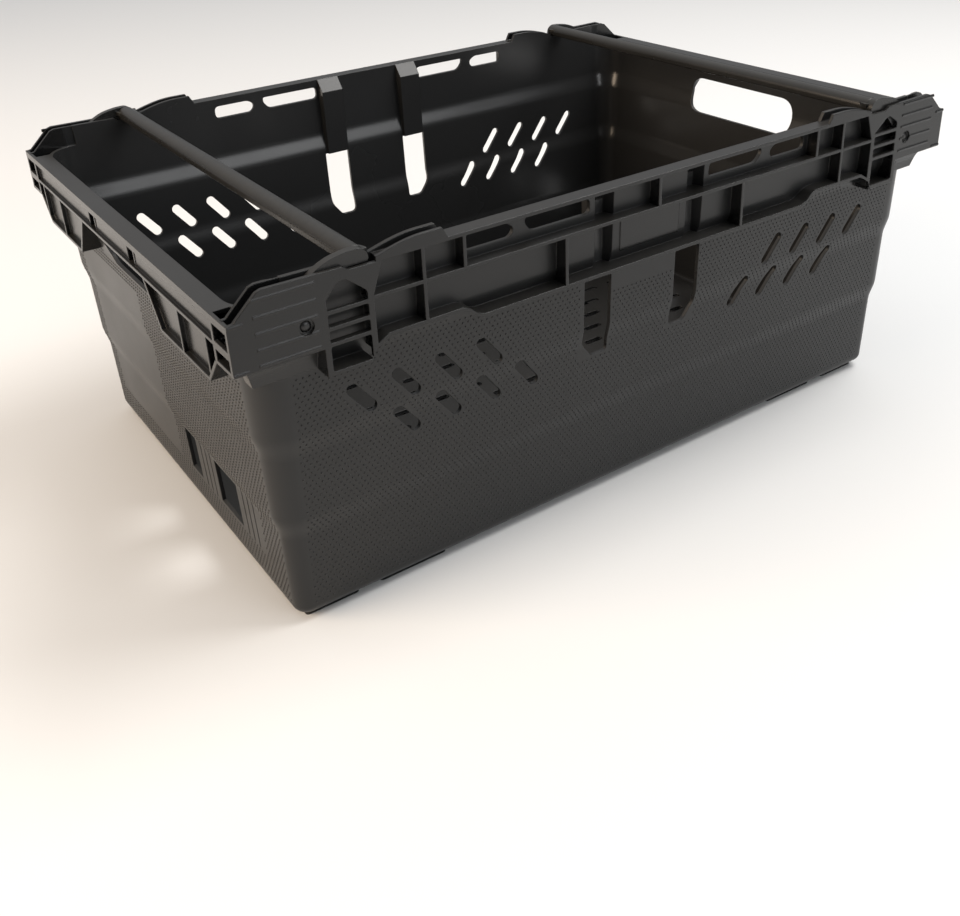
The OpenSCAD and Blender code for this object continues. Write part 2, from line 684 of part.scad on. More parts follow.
// ---- Drawing ----
floor_plate();
feet_left();
feet_right();
front_panel_left();
front_panel_centre();
front_panel_right();
front_panel_bottom();
front_rim_lower();
front_rim_posts();
front_rim_crown();
front_channels();
front_flange_top();
front_rib_middle();
front_rib_lower();
front_uprights();
back_panel_left();
back_panel_centre();
back_panel_right();
back_panel_bottom();
back_rim_lower();
back_rim_posts();
back_rim_crown();
back_channels();
back_flange_top();
back_rib_middle();
back_rib_lower();
back_uprights();
left_end_wall();
left_end_base();
left_end_rim();
left_end_ledge();
left_skirt_front();
left_skirt_back();
right_end_wall();
right_end_base();
right_end_rim();
right_end_ledge();
right_skirt_front();
right_skirt_back();
corner_front_left();
corner_front_right();
corner_back_left();
corner_back_right();
pivot_plate_front_left();
pivot_plate_front_right();
pivot_plate_back_left();
pivot_plate_back_right();
corner_skirt_front_left();
corner_skirt_front_right();
corner_skirt_back_left();
corner_skirt_back_right();
bar_left();
lever_left_front();
lever_left_back();
pivot_pins_left();
bar_right();
lever_right_front();
lever_right_back();
pivot_pins_right();
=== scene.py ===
import math

import bmesh
import bpy
from mathutils import Matrix, Vector


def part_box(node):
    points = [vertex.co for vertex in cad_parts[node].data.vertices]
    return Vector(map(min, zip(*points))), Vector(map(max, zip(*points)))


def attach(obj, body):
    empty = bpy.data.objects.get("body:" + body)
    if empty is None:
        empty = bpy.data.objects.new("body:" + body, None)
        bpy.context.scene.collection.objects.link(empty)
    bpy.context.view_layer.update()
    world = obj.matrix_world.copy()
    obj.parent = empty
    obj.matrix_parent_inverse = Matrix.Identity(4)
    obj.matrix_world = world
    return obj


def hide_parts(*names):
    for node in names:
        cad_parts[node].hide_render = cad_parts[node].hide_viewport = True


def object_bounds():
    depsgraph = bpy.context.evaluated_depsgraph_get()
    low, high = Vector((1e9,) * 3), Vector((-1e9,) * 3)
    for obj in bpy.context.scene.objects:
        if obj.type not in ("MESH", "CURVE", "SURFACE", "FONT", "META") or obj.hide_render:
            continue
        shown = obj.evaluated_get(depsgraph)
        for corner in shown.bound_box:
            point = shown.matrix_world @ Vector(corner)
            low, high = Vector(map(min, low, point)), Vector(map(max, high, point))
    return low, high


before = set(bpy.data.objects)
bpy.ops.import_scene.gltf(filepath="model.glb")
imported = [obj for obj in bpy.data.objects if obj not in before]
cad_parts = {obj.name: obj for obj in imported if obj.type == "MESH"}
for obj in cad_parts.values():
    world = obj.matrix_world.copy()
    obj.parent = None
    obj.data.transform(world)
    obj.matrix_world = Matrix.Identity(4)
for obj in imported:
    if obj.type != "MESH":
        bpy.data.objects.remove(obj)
cad_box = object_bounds()

# ---------------------------------------------------------------- sizes, in millimetres
MM = 0.001


def high(node):
    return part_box(node)[1] / MM


def low(node):
    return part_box(node)[0] / MM


HALF_X = cad_box[1].x / MM
HALF_Y = cad_box[1].y / MM
LEDGE = high("left_end_ledge").z
BASE = low("floor_plate").z
WALL = high("floor_plate").z - BASE
STRAIGHT_X = high("front_panel_bottom").x
STRAIGHT_Y = high("left_end_base").y
CORNER = HALF_X - STRAIGHT_X
BASE_ROUND = 7.0        # radius between walls and floor
RIM_RISE = 14.3         # top of the long rims above the ledge
RIM_INSET = 9.0         # wall at the rim, inside the outer box
DRAFT = 0.03            # how far the wall leans in, per mm of height
STEPS = (               # each step of the wall: its top, its bottom, how far it goes in
    (-32.0, -50.0, 3.6),
    (-87.0, -105.0, 2.9),
    (-147.0, -165.0, 3.1),
)
CORE_TOP = 24.0         # the walls are drawn up to here, then cut along the rim line
RIB = 2.2
FLANGE_UNDER = 11.9     # underside of the top flange
MID_RIB = -7.4          # tops of the ribs
LOW_RIB = -41.2
END_RIB = -16.8
PAST = 10.0             # how far a cutter reaches past what it cuts
PIN_GAP = 0.08
LEDGE_END = high("left_end_ledge").y
PIVOT_X = -(low("pivot_pins_left").x + high("pivot_pins_left").x) / 2
PIVOT_Z = (low("pivot_pins_left").z + high("pivot_pins_left").z) / 2 - LEDGE
PIN_R = (high("pivot_pins_left").x - low("pivot_pins_left").x) / 2
PIN_END = 11.1          # inner end of a pin, inside the outer box
BAR_X = -(low("bar_left").x + high("bar_left").x) / 2
BAR_HALF = high("bar_left").y
BAR_BOTTOM = low("bar_left").z - LEDGE
BAR_TOP = high("bar_left").z - LEDGE
BAR_WIDTH = high("bar_left").x - low("bar_left").x


def at(z):
    """Height above the ledge to height above the ground."""
    return LEDGE + z


def ease(t):
    t = max(0.0, min(1.0, t))
    return t * t * (3 - 2 * t)


def inset(z):
    """How far the outer wall lies inside the outer box, at a height above the ledge."""
    steps = sum(s[2] * ease((s[0] - z) / (s[0] - s[1])) for s in STEPS)
    return RIM_INSET + DRAFT * (RIM_RISE - z) + steps


# ---------------------------------------------------------------- mesh tools
scene = bpy.context.scene


def from_bmesh(name, bm):
    bmesh.ops.recalc_face_normals(bm, faces=bm.faces)
    mesh = bpy.data.meshes.new(name)
    bm.to_mesh(mesh)
    bm.free()
    obj = bpy.data.objects.new(name, mesh)
    scene.collection.objects.link(obj)
    return obj


def skin(bm, loops):
    """Adds a closed solid through equal loops of points in mm."""
    verts = [[bm.verts.new(Vector(p) * MM) for p in loop] for loop in loops]
    bm.faces.new(verts[0][::-1])
    bm.faces.new(verts[-1])
    for a, b in zip(verts, verts[1:]):
        for i in range(len(a)):
            j = (i + 1) % len(a)
            bm.faces.new((a[i], a[j], b[j], b[i]))


def prism(axis, points, start, end, name="prism"):
    """Closed solid from an outline run along one axis. Outlines are (x, z), (y, z) or (x, y) in mm."""
    def place(u, v, t):
        return {"y": (u, t, v), "x": (t, u, v), "z": (u, v, t)}[axis]
    bm = bmesh.new()
    skin(bm, [[place(u, v, t) for u, v in points] for t in (start, end)])
    return from_bmesh(name, bm)


def slab(lo, hi):
    """Block between two corners, heights above the ledge."""
    outline = [(lo[0], at(lo[2])), (hi[0], at(lo[2])), (hi[0], at(hi[2])), (lo[0], at(hi[2]))]
    return prism("y", outline, lo[1], hi[1])


def ledge_prism(axis, points, start, end):
    """Prism from an outline whose heights are above the ledge."""
    return prism(axis, [(u, at(v)) for u, v in points], start, end)


def both_ends(lo, hi):
    """A block at the left end, and the same block half a turn on, at the right end."""
    return [slab(lo, hi), slab((-hi[0], -hi[1], lo[2]), (-lo[0], -lo[1], hi[2]))]


def mirrored(obj, x=False, y=False):
    """The same solid mirrored in place; both together are a half turn about Z."""
    obj.data.transform(Matrix.Diagonal((-1 if x else 1, -1 if y else 1, 1, 1)))
    if x != y:
        obj.data.flip_normals()
    return obj


def copied(obj, name):
    twin = bpy.data.objects.new(name, obj.data.copy())
    scene.collection.objects.link(twin)
    return twin


def half_turn(obj, name):
    """Copy for the other end of the crate, half a turn about Z."""
    return mirrored(copied(obj, name), x=True, y=True)


def drop(objs):
    for o in objs:
        mesh = o.data
        bpy.data.objects.remove(o)
        if mesh.users == 0:
            bpy.data.meshes.remove(mesh)


def settle(obj):
    """Applies every modifier to the object's mesh."""
    graph = bpy.context.evaluated_depsgraph_get()
    mesh = bpy.data.meshes.new_from_object(obj.evaluated_get(graph))
    obj.modifiers.clear()
    old = obj.data
    obj.data = mesh
    if old.users == 0:
        bpy.data.meshes.remove(old)
    return obj


def combine(target, others, operation, keep=False):
    """Boolean of the target with the others, which are then deleted unless they are kept."""
    for other in others:
        mod = target.modifiers.new("join", "BOOLEAN")
        mod.solver = "MANIFOLD"
        mod.operation = operation
        mod.object = other
    settle(target)
    if not keep:
        drop(others)
    return target


def union(name, parts):
    body = combine(parts[0], parts[1:], "UNION")
    body.name = body.data.name = name
    return body


def tidy(obj):
    """Welds stray points and dissolves edges between faces in one plane."""
    weld, flat = 0.01 * MM, math.radians(0.4)
    bm = bmesh.new()
    bm.from_mesh(obj.data)
    bmesh.ops.remove_doubles(bm, verts=bm.verts, dist=weld)
    bmesh.ops.dissolve_degenerate(bm, edges=bm.edges, dist=weld)
    bmesh.ops.dissolve_limit(bm, angle_limit=flat, verts=bm.verts, edges=bm.edges)
    bm.to_mesh(obj.data)
    bm.free()
    return obj


SHARP, BEND = math.radians(50), math.radians(32)


def shade(obj, sharp):
    """Smooth shading, but for edges sharper than the angle."""
    for poly in obj.data.polygons:
        poly.use_smooth = True
    obj.data.set_sharp_from_angle(angle=sharp)
    mod = obj.modifiers.new("normals", "WEIGHTED_NORMAL")
    mod.keep_sharp = True
    return mod


def soften(obj, width, segments):
    """Rounds every bent edge and smooths the rest."""
    for poly in obj.data.polygons:
        poly.use_smooth = True
    mod = obj.modifiers.new("edges", "BEVEL")
    mod.width = width * MM
    mod.segments = segments
    mod.limit_method = "ANGLE"
    mod.angle_limit = BEND
    settle(obj)
    shade(obj, SHARP).weight = 80


def circle(cx, cz, r, n=28):
    turns = [2 * math.pi * i / n for i in range(n)]
    return [(cx + r * math.cos(a), cz + r * math.sin(a)) for a in turns]


def capsule(cx, cz, length, width, tilt, n=8):
    """Round ended slot outline, tilted from the horizontal."""
    t = math.radians(tilt)
    reach = (length - width) / 2
    points = []
    for side, start in ((1, -90), (-1, 90)):
        ox, oz = side * reach * math.cos(t), side * reach * math.sin(t)
        points += [(cx + ox + width / 2 * math.cos(t + math.radians(start + 180 * i / n)),
                    cz + oz + width / 2 * math.sin(t + math.radians(start + 180 * i / n)))
                   for i in range(n + 1)]
    return points


def rounded(points, radius, n=4):
    """Outline with its corners rounded; radius is one number or one per corner."""
    out = []
    count = len(points)
    for i, p in enumerate(points):
        r = radius[i] if isinstance(radius, (list, tuple)) else radius
        a, b = Vector(points[i - 1]), Vector(points[(i + 1) % count])
        p = Vector(p)
        ua, ub = (a - p), (b - p)
        cut = min(r, ua.length * 0.49, ub.length * 0.49)
        if cut < 0.05:
            out.append(tuple(p))
            continue
        s, e = p + ua.normalized() * cut, p + ub.normalized() * cut
        for k in range(n + 1):
            t = k / n
            q = s * (1 - t) ** 2 + p * 2 * t * (1 - t) + e * t ** 2
            out.append(tuple(q))
    return out


def mirror_x(points):
    return [(-u, v) for u, v in points][::-1]


# ---------------------------------------------------------------- wall of the crate
PROFILE = sorted({round(s[1] + (s[0] - s[1]) * i / 9, 4) for s in STEPS for i in range(10)})
LOW_Z = BASE + BASE_ROUND - LEDGE
LOW_INSET = inset(LOW_Z)


def ring(depth, height):
    """Rounded rectangle at a height above the ground, that far inside the outer box."""
    corner_parts = 14
    r = max(CORNER - depth, 0.8)
    centre_x, centre_y = HALF_X - depth - r, HALF_Y - depth - r
    points = []
    for k, (sx, sy) in enumerate(((1, 1), (-1, 1), (-1, -1), (1, -1))):
        for i in range(corner_parts + 1):
            a = math.radians(90 * (k + i / corner_parts))
            points.append((sx * centre_x + r * math.cos(a), sy * centre_y + r * math.sin(a), height))
    return points


def core(depth, top, name="core"):
    """The crate's body as a filled solid whose surface lies that deep behind the outer wall."""
    r = BASE_ROUND - depth
    parts = 8
    rings = []
    for i in range(parts, 0, -1):
        a = math.radians(90 * i / parts)
        rings.append(ring(LOW_INSET + BASE_ROUND - r * math.cos(a), BASE + BASE_ROUND - r * math.sin(a)))
    for z in [LOW_Z] + [z for z in PROFILE if z > LOW_Z + 0.1] + [-20.0, 0.0, top]:
        rings.append(ring(inset(z) + depth, at(z)))
    bm = bmesh.new()
    skin(bm, rings)
    return from_bmesh(name, bm)


CAM_START, CAM_END, CAM_FOOT = 210.5, 167.0, 163.5
CAM_LOW, CAM_TOP = 15.0, 20.8
NOTCH_Z = 12.2


def cam_point(t):
    """Point of the crown that guides the bar into its notch, from 0 at the notch to 1."""
    rise = math.sin(math.radians(90 * min(1, t * 1.35)))
    return -CAM_START + (CAM_START - CAM_END) * t, CAM_LOW + (CAM_TOP - CAM_LOW) * rise


CAM = [cam_point(i / 14) for i in range(15)]
TOP_LEFT = [(-HALF_X, 0), (-HALF_X + 4, 0.6), (-HALF_X + 18.5, 14.2), (-HALF_X + 22, 15.4),
            (-231, 14.8), (-227.5, NOTCH_Z), (-212.4, NOTCH_Z)] + CAM + [(-CAM_FOOT, RIM_RISE)]
TOP_LINE = TOP_LEFT + mirror_x(TOP_LEFT)


def clip_line(points, x0, x1):
    """The part of a polyline between two x positions."""
    def height(x):
        for (ax, az), (bx, bz) in zip(points, points[1:]):
            if ax <= x <= bx:
                return az + (bz - az) * (x - ax) / max(bx - ax, 1e-9)
        return points[-1][1]
    return [(x0, height(x0))] + [p for p in points if x0 < p[0] < x1] + [(x1, height(x1))]


CHANNEL_BOTTOM = -52
CHANNEL_IN, CHANNEL_OUT = 30, 50
CHANNEL_FLOOR, CHANNEL_BACK = inset(CHANNEL_BOTTOM) + WALL, 20.0


def along_walls(profile, x0, x1, name):
    """Outlines of [depth behind the outer box, height above the ledge] run along both long walls."""
    return [prism("x", [(side * (HALF_Y - d), at(z)) for d, z in profile], x0, x1, name) for side in (-1, 1)]


def channel_space(grow=0.0):
    """Open space of the four channels in the long walls, above the tall slots."""
    mouth_in, mouth_out, side = CHANNEL_IN + 2 - grow, CHANNEL_OUT - 2 + grow, 5
    plan = [(mouth_in, 1), (mouth_in, -RIM_INSET), (CHANNEL_IN + side - grow, -CHANNEL_FLOOR - grow),
            (CHANNEL_OUT - side + grow, -CHANNEL_FLOOR - grow), (mouth_out, -RIM_INSET), (mouth_out, 1)]
    bm = bmesh.new()
    for sx in (-1, 1):
        for sy in (-1, 1):
            skin(bm, [[(sx * u, sy * (HALF_Y + v), at(z)) for u, v in plan]
                      for z in (CHANNEL_BOTTOM - 1, CORE_TOP + 4)])
    slope = [(-5, FLANGE_UNDER), (RIM_INSET, FLANGE_UNDER), (CHANNEL_FLOOR, 2), (30, 2), (30, 40), (-5, 40)]
    return combine(from_bmesh("channel_space", bm), along_walls(slope, -60, 60, "slope"), "DIFFERENCE")


def pilasters():
    """Blocks on the inside of the long walls that hold the channels."""
    step_end = STEPS[0][0] + 2
    zs = [CHANNEL_BOTTOM] + [z for z in PROFILE if CHANNEL_BOTTOM < z < step_end] + [0, RIM_RISE]
    block = [(inset(z) + 1, z) for z in zs]
    block += [(RIM_INSET + WALL, RIM_RISE), (CHANNEL_BACK, 4), (CHANNEL_BACK, CHANNEL_BOTTOM)]
    return [part for x0, x1 in ((-CHANNEL_OUT, -CHANNEL_IN), (CHANNEL_IN, CHANNEL_OUT))
            for part in along_walls(block, x0, x1, "pilaster")]


# slanted slots: where each row's outermost slot is, and the size of a slot
SLANT_ROWS = ((220.5, -77.0), (190.0, -104.3))
SLANT_COUNT, SLANT_PITCH, SLANT_TILT = 4, 30.6, 52
SLANT_LENGTH, SLANT_WIDTH = 27, 7.5
TALL_SLOT = rounded([(-52, -52), (-29, -52), (-29, -111), (-43, -111), (-52, -99)], [1, 1, 4, 3, 4])
RIM_SLOTS = (
    rounded([(-147, -2), (-147, 8), (-117, 8), (-112, 4.5), (-112, 1), (-115, -2)], 4),
    rounded([(-103, 8), (-103, 4), (-98, -2), (-54, -2), (-52, 0), (-52, 8)], 4),
)
HAND_HOLE = rounded([(-62, -51), (62, -51), (62, -18.5), (-62, -18.5)], 15, 8)
# low windows of the left end and the fine grooves beside them
END_WINDOWS, WINDOW_Z = ((-97, -60), (-25, -5)), (-197, -163)
GROOVE_STARTS, GROOVE_PITCH, GROOVE, GROOVE_Z = (-132, -60), 8.5, 1.2, (-198, -161)
FLOOR_PITCH_X, FLOOR_PITCH_Y, FLOOR_MARGIN = 34, 22, 20


def floor_holes():
    """Slots through the floor, in staggered rows."""
    reach_x, reach_y = high("floor_plate").x - FLOOR_MARGIN, high("floor_plate").y - FLOOR_MARGIN
    columns, rows = int(2 * reach_x / FLOOR_PITCH_X), int(2 * reach_y / FLOOR_PITCH_Y)
    bm = bmesh.new()
    for j in range(rows):
        for i in range(columns):
            x = (i - (columns - 1) / 2 + (j % 2 - 0.5) / 2) * FLOOR_PITCH_X
            y = (j - (rows - 1) / 2) * FLOOR_PITCH_Y
            outline = capsule(x, y, 20, 6, 0, 6)
            skin(bm, [[(u, v, z) for u, v in outline] for z in (BASE - 2, BASE + WALL + 2)])
    return from_bmesh("floor_holes", bm)


def build_wall():
    shell = core(0, CORE_TOP, "crate_wall")
    outer_x, outer_y = HALF_X + PAST, HALF_Y + PAST
    line = clip_line(TOP_LINE, -STRAIGHT_X, STRAIGHT_X)
    above = [(-outer_x, 0), (-STRAIGHT_X, 0)] + line + [(STRAIGHT_X, 0), (outer_x, 0), (outer_x, 40),
             (-outer_x, 40)]
    outlines = [above]
    for x0, z in SLANT_ROWS:
        for i in range(SLANT_COUNT):
            for s in (1, -1):
                outlines.append(capsule(s * (SLANT_PITCH * i - x0), z, SLANT_LENGTH, SLANT_WIDTH,
                                        -s * SLANT_TILT))
    for outline in (TALL_SLOT, *RIM_SLOTS):
        outlines += [outline, mirror_x(outline)]
    cuts = [core(WALL, CORE_TOP + 2)]
    cuts += [ledge_prism("y", outline, -outer_y, outer_y) for outline in outlines]
    for s in (-1, 1):
        for side in (-1, 1):
            cuts.append(ledge_prism("y", circle(s * PIVOT_X, PIVOT_Z, PIN_R + PIN_GAP),
                                    side * outer_y, side * (HALF_Y - PIN_END - 0.3)))
    cuts.append(ledge_prism("x", HAND_HOLE, -outer_x, outer_x))
    for y0, y1 in END_WINDOWS:
        cuts += both_ends((-HALF_X - 1, y0, WINDOW_Z[0]), (-HALF_X + 40, y1, WINDOW_Z[1]))
    groove_x = -HALF_X + inset(-180) + GROOVE
    for y0 in GROOVE_STARTS:
        for i in (1, 2, 3):
            y = y0 + GROOVE_PITCH * i
            cuts += both_ends((-HALF_X, y - GROOVE / 2, GROOVE_Z[0]), (groove_x, y + GROOVE / 2, GROOVE_Z[1]))
    combine(shell, cuts, "DIFFERENCE")
    combine(shell, pilasters(), "UNION")
    return combine(shell, [channel_space(), floor_holes()], "DIFFERENCE")


# ---------------------------------------------------------------- ribs, plates, ledges, feet
FRAME_END, FLANGE_END = 216.0, 209.0
LOWER_PATH = [(0, LOW_RIB), (-141, LOW_RIB), (-146, -39), (-151, -34.6), (-156, -32.8), (-206, -32.8),
              (-211, -35.6), (-FRAME_END, -38.6)]
FRONT = -HALF_Y
FACE = FRONT + 0.6
DEEP = FRONT + CHANNEL_BACK - 1


def half_ribs():
    """Left half of the front ribs: flange, middle rib, lower rib, end post, crown and uprights."""
    thick = RIB + 0.2
    parts = [
        slab((-FLANGE_END, FACE, FLANGE_UNDER), (2, DEEP, RIM_RISE)),
        slab((-FRAME_END - 1, FACE, MID_RIB - RIB), (2, DEEP, MID_RIB)),
        ledge_prism("y", LOWER_PATH[::-1] + [(2, LOW_RIB), (2, LOW_RIB - thick)]
                    + [(x, z - thick) for x, z in LOWER_PATH], FACE, DEEP),
        ledge_prism("y", [(-FRAME_END, -40.8), (-FRAME_END + RIB, -40), (-FRAME_END + RIB, MID_RIB),
                          (-FLANGE_END + RIB, FLANGE_UNDER + 1), (-FLANGE_END, FLANGE_UNDER + 1),
                          (-FRAME_END, MID_RIB)], FACE, DEEP),
        ledge_prism("y", [(-CAM_FOOT, FLANGE_UNDER), (-CAM_START, FLANGE_UNDER)] + CAM
                    + [(-CAM_FOOT, RIM_RISE)], FACE, FACE + RIB),
    ]
    for x, z0, z1 in ((180.5, -33.5, FLANGE_UNDER + 1), (152.5, MID_RIB - 1, FLANGE_UNDER + 1),
                      (77.5, -42, MID_RIB - 1)):
        parts.append(slab((-x - RIB / 2, FACE, z0), (-x + RIB / 2, DEEP, z1)))
    return parts


def build_rib_frame(name, trim):
    """Front ribs with the raised panel in the middle of the wall."""
    parts = half_ribs()
    parts += [mirrored(p, x=True) for p in half_ribs()]
    parts.append(slab((-RIB / 2, FACE, MID_RIB - 1), (RIB / 2, DEEP, FLANGE_UNDER + 1)))
    zs = [-35] + [z for z in PROFILE if -35 < z < -30] + [-13]
    panel = [(FRONT + inset(z) - 0.6, z) for z in zs] + [(FRONT + inset(z) + 2, z) for z in zs[::-1]]
    parts.append(ledge_prism("x", panel, -26, 26))
    body = union(name, parts)
    return combine(body, [trim], "DIFFERENCE", keep=True)


PLATE_BACK = 3.0
RECESS_R, RECESS_FLOOR = 4.7, FACE + 1.5
LINE_RISE, LINE_HALF = 0.6, 1.1
PLATE_BOTTOM, POCKET_FLOOR, COLUMN_BOTTOM = -30.0, -27.6, -48.0
CELL_IN, CELL_OUT, COLUMN_OUT = 217.4, 243.0, 246.5
# left and right plate of the front: heights of the cells, then of the raised lines
STYLES = (
    (((-8.5, 7.5), (-18.4, -10.8), (-27.9, -20.6), (-45.6, -30.1)), (9.4, -0.4, -10, -19.5, -28.8)),
    (((-4, 6.8), (-13.2, -6.4), (-22.3, -15.6), (-44.6, -24.7)), (12, 3.2, -5.7, -15.2, -24.6)),
)
COVE = [(0, PLATE_BOTTOM), (2.5, -30.3), (5, -31), (7, -32), (8.7, -33.3), (10.2, -35), (11.3, -37.2),
        (12.4, -40.5), (13.3, -44), (14, -47)]


def raised_line(x0, x1, z):
    """Line standing proud of the plate, with rounded flanks."""
    turns = [math.pi * i / 8 for i in range(9)]
    crest = [(FACE + 0.02 - LINE_RISE * math.sin(a), z + LINE_HALF * (1 - math.cos(a))) for a in turns]
    return ledge_prism("x", [(FACE + 0.8, z)] + crest + [(FACE + 0.8, z + 2 * LINE_HALF)], x0, x1)


def build_plate(name, style, trim):
    """Left pivot plate with its column of cells, its pocket and the cove under it."""
    cells, lines = STYLES[style]
    top = [p for p in TOP_LEFT if p[0] < -CAM_START - 1]
    outline = [(-FRAME_END, COLUMN_BOTTOM + 7), (-FRAME_END - 3, COLUMN_BOTTOM), (-COLUMN_OUT, COLUMN_BOTTOM),
               (-COLUMN_OUT, PLATE_BOTTOM), (-HALF_X, PLATE_BOTTOM)] + top + [
               (-CAM_START, NOTCH_Z), (-CAM_START, FLANGE_UNDER), (-FLANGE_END, FLANGE_UNDER),
               (-FRAME_END, MID_RIB)]
    parts = [
        ledge_prism("y", outline, FACE, FRONT + PLATE_BACK),
        slab((-COLUMN_OUT, FACE + 0.5, COLUMN_BOTTOM), (-CELL_IN, DEEP, COLUMN_BOTTOM + 2.4)),
        slab((-COLUMN_OUT, FACE + 0.5, COLUMN_BOTTOM), (-COLUMN_OUT + RIB, DEEP, PLATE_BOTTOM + 1)),
    ]
    for bottom, _ in cells[1:3]:
        parts.append(slab((-CELL_OUT - 1, FACE, bottom - RIB), (-CELL_IN + 1, FRONT + 5, bottom)))
    pocket_x = -HALF_X + RIB - 0.8
    pocket = [(pocket_x, 0.4)] + [p for p in TOP_LEFT if -HALF_X + RIB < p[0] < -STRAIGHT_X]
    pocket += [(-STRAIGHT_X + 2, 15.2), (-STRAIGHT_X + 2, POCKET_FLOOR), (pocket_x, POCKET_FLOOR)]
    parts.append(ledge_prism("y", pocket, FRONT + 9.6, FRONT + 11.8))
    parts.append(slab((-HALF_X, FACE + 0.5, POCKET_FLOOR - 1), (-HALF_X + RIB, -LEDGE_END + 1, 0)))
    # concave cove from the plate down to the wall
    section = COVE + [(60, COVE[-1][1]), (60, POCKET_FLOOR), (0, POCKET_FLOOR)]
    cove = ledge_prism("x", [(FRONT + u, v) for u, v in section], -HALF_X, -COLUMN_OUT + 1)
    end = ledge_prism("y", [(-HALF_X + u, v) for u, v in section], FRONT, -LEDGE_END)
    combine(cove, [end], "INTERSECT")
    combine(cove, [slab((-HALF_X - 1, FRONT - 1, -60), (-COLUMN_OUT + 2, FACE, 0))], "DIFFERENCE")
    parts.append(cove)
    for z in lines:
        parts.append(raised_line(-HALF_X + 15, -248.5, z))
    for z in (-2, -29.8):
        parts.append(raised_line(-HALF_X + 0.02, -HALF_X + 9, z))
    body = union(name, parts)
    top_z = cells[0][1]
    window = rounded([(-CELL_OUT, cells[0][0]), (-CELL_OUT, top_z - 6), (-233.5, top_z), (-230, top_z),
                      (-CELL_IN, -3), (-CELL_IN, cells[0][0])], [1.6, 3, 2.5, 2.5, 2, 1.6])
    cuts = [ledge_prism("y", window, FRONT - 1, FRONT + 6)]
    for z0, z1 in cells[1:]:
        outline = rounded([(-CELL_OUT, z0), (-CELL_OUT, z1), (-CELL_IN, z1), (-CELL_IN, z0)], 1.6)
        cuts.append(ledge_prism("y", outline, FRONT - 1, FRONT + 6))
    cuts.append(ledge_prism("y", circle(-PIVOT_X, PIVOT_Z, PIN_R + PIN_GAP, 40), FRONT - 1, FRONT + 7))
    cuts.append(ledge_prism("y", circle(-PIVOT_X, PIVOT_Z, RECESS_R, 40), FRONT - 1, RECESS_FLOOR))
    for z0, z1 in ((-15.5, -5), (POCKET_FLOOR, -20.5)):
        cuts.append(slab((-HALF_X - 1, FRONT + 3.5, z0), (-HALF_X + 4, FRONT + 22, z1)))
    combine(body, cuts, "DIFFERENCE")
    return combine(body, [trim], "DIFFERENCE", keep=True)


def build_end(name, trim):
    """Ledge, middle rib and skirts of the left end."""
    left, deep = -HALF_X, -HALF_X + 20
    rib_under = END_RIB - RIB
    parts = [slab((left, -LEDGE_END, -2.4), (deep, LEDGE_END, 0)),
             slab((left, -LEDGE_END, rib_under), (deep, LEDGE_END, END_RIB)),
             slab((left, -LEDGE_END, -4.6), (left + RIB, LEDGE_END, -2)),
             slab((left + 2, -LEDGE_END, END_RIB - 1), (left + 4, LEDGE_END, -2.2))]
    for s in (-1, 1):
        for d in (-6.5, 6.5):
            parts.append(slab((left + 1.6, s * 40 + d - 1, END_RIB - 1), (deep, s * 40 + d + 1, -2)))
    skirt_top = rib_under + 0.5
    skirt = [(-176, -30.2), (-160, -48.2), (-82, -48.2), (-62, skirt_top), (-64.6, skirt_top),
             (-83.4, -46), (-159, -46), (-174, -29), (-176, -29)]
    for s in (1, -1):
        parts.append(ledge_prism("x", [(s * u, v) for u, v in skirt], left, deep))
        for y0, y1, z0 in ((-121.1, -118.9, -46.5), (-164, -161.8, -43)):
            a, b = sorted((s * y0, s * y1))
            parts.append(slab((left, a, z0), (deep, b, skirt_top)))
        backing = [(-164, -43), (-160, -46.5), (-82.6, -46.5), (-67, skirt_top), (-164, skirt_top)]
        parts.append(ledge_prism("x", [(s * u, v) for u, v in backing], left + 3, left + 5))
    body = union(name, parts)
    notches = [slab((left - 1, s * 40 - 5.5, END_RIB), (left + 5, s * 40 + 5.5, -4.6)) for s in (-1, 1)]
    combine(body, notches, "DIFFERENCE")
    return combine(body, [trim], "DIFFERENCE", keep=True)


def build_feet(name):
    """Two pads across the left end of the underside, with bays between their ribs."""
    parts, cuts = [], []
    foot_y, edge = high("feet_left").y, 6
    for x0, x1, bays in ((-low("feet_left").x, 228, 5), (212, -high("feet_left").x, 3)):
        pad = [(-x0, -foot_y), (-x1, -foot_y), (-x1, foot_y), (-x0, foot_y)]
        parts.append(prism("z", rounded(pad, 3), 0, BASE + 1))
        pitch = (2 * foot_y - edge) / bays
        half = (pitch - edge) / 2
        for i in range(bays):
            y = (i - (bays - 1) / 2) * pitch
            bay = [(-x0 + edge, y - half), (-x1 - edge, y - half), (-x1 - edge, y + half),
                   (-x0 + edge, y + half)]
            cuts.append(prism("z", rounded(bay, 2), -1, BASE))
    return combine(union(name, parts), cuts, "DIFFERENCE")


# ---------------------------------------------------------------- raised pips of the outer walls
PIP_PITCH, PIP_ROW = 4.0, 3.0
PIP_LOW, PIP_HIGH = -216.0, -36.0
PIP_SHAPE = ((1.15, -0.3), (0.45, 0.42))    # reach and rise of a pip's foot and of its top


def near_slant(x, z):
    """True inside or beside one of the slanted slots."""
    tilt = math.radians(SLANT_TILT)
    half = (SLANT_LENGTH - SLANT_WIDTH) / 2
    for x0, mid in SLANT_ROWS:
        for i in range(SLANT_COUNT):
            u, v = abs(x) - (x0 - SLANT_PITCH * i), z - mid
            along = u * math.cos(tilt) + v * math.sin(tilt)
            across = -u * math.sin(tilt) + v * math.cos(tilt)
            if math.hypot(max(abs(along) - half, 0), across) < SLANT_WIDTH / 2 + 1.45:
                return True
    return False


